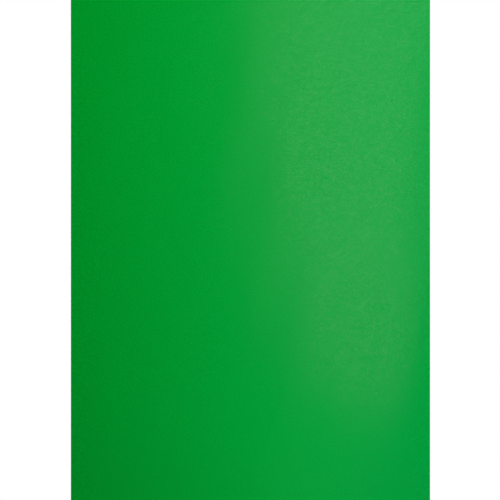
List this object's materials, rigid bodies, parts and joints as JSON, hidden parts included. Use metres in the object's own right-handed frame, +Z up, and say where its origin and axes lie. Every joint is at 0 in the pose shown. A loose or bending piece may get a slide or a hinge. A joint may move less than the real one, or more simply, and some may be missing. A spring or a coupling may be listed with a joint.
{
  "type": "backdrop paper roll",
  "caption": "Seamless green backdrop paper on a cardboard core, hung on a telescopic crossbar with stand sockets, drawn down to a curled cut edge.",
  "frame": {"origin": "where the crossbar's axis meets the axis of the left stand socket", "axes": "+X along the crossbar to its sliding end, +Z up, and -Y the front, from which the picture is taken; the paper falls behind the roll, on the +Y side"},
  "size_m": [1.7455, 0.0933, 2.2376],
  "materials": {
    "green_paper": "matte",
    "core_board": "matte",
    "tape": "satin",
    "aluminium_tube": "satin",
    "black_nylon": "matte",
    "white_nylon": "satin",
    "zinc_steel": "satin",
    "brass_pad": "satin",
    "rivet_aluminium": "satin"
  },
  "bodies": {
    "crossbar": {"outer_tube": "aluminium_tube", "left_end_fitting": "black_nylon", "left_rivets": "rivet_aluminium", "lock_collar": "black_nylon", "collar_rivets": "rivet_aluminium", "lock_pad": "brass_pad", "outer_wrap": "green_paper", "drawn_sheet": "green_paper"},
    "extension": {"inner_tube": "aluminium_tube", "inner_glide": "white_nylon", "right_end_fitting": "black_nylon", "right_rivets": "rivet_aluminium"},
    "roll": {"core_tube": "core_board", "tail_tape": "tape", "wound_paper": "green_paper"},
    "paper_end": {"leading_edge": "green_paper"},
    "lock_screw": {"lock_knob": "black_nylon", "lock_stud": "zinc_steel"},
    "left_screw": {"left_knob": "black_nylon", "left_stud": "zinc_steel"},
    "right_screw": {"right_knob": "black_nylon", "right_stud": "zinc_steel"}
  },
  "joints": [
    {"name": "roll_spin", "type": "hinge", "parent": "crossbar", "child": "roll", "pos_m": [0.85575, 0, -0.0092], "axis": [1, 0, 0], "range_deg": [0, 2700]},
    {"name": "paper_draw", "type": "slide", "parent": "crossbar", "child": "paper_end", "axis": [0, 0, 1], "range_m": [0, 1.896], "deforming": ["drawn_sheet"]},
    {"name": "bar_extend", "type": "slide", "parent": "crossbar", "child": "extension", "axis": [1, 0, 0], "range_m": [-0.037, 0.66]},
    {"name": "lock_screw_turn", "type": "hinge", "parent": "crossbar", "child": "lock_screw", "pos_m": [1.61375, 0, 0], "axis": [0, 1, 0], "range_deg": [-720, 0]},
    {"name": "left_screw_turn", "type": "hinge", "parent": "crossbar", "child": "left_screw", "pos_m": [0, 0, 0], "axis": [0, 1, 0], "range_deg": [-720, 0]},
    {"name": "right_screw_turn", "type": "hinge", "parent": "extension", "child": "right_screw", "pos_m": [1.7115, 0, 0], "axis": [0, 1, 0], "range_deg": [-720, 0]}
  ],
  "couplings": [
    {"joint": "paper_draw", "follows": "roll_spin", "m_per_rad": 0.04022}
  ]
}
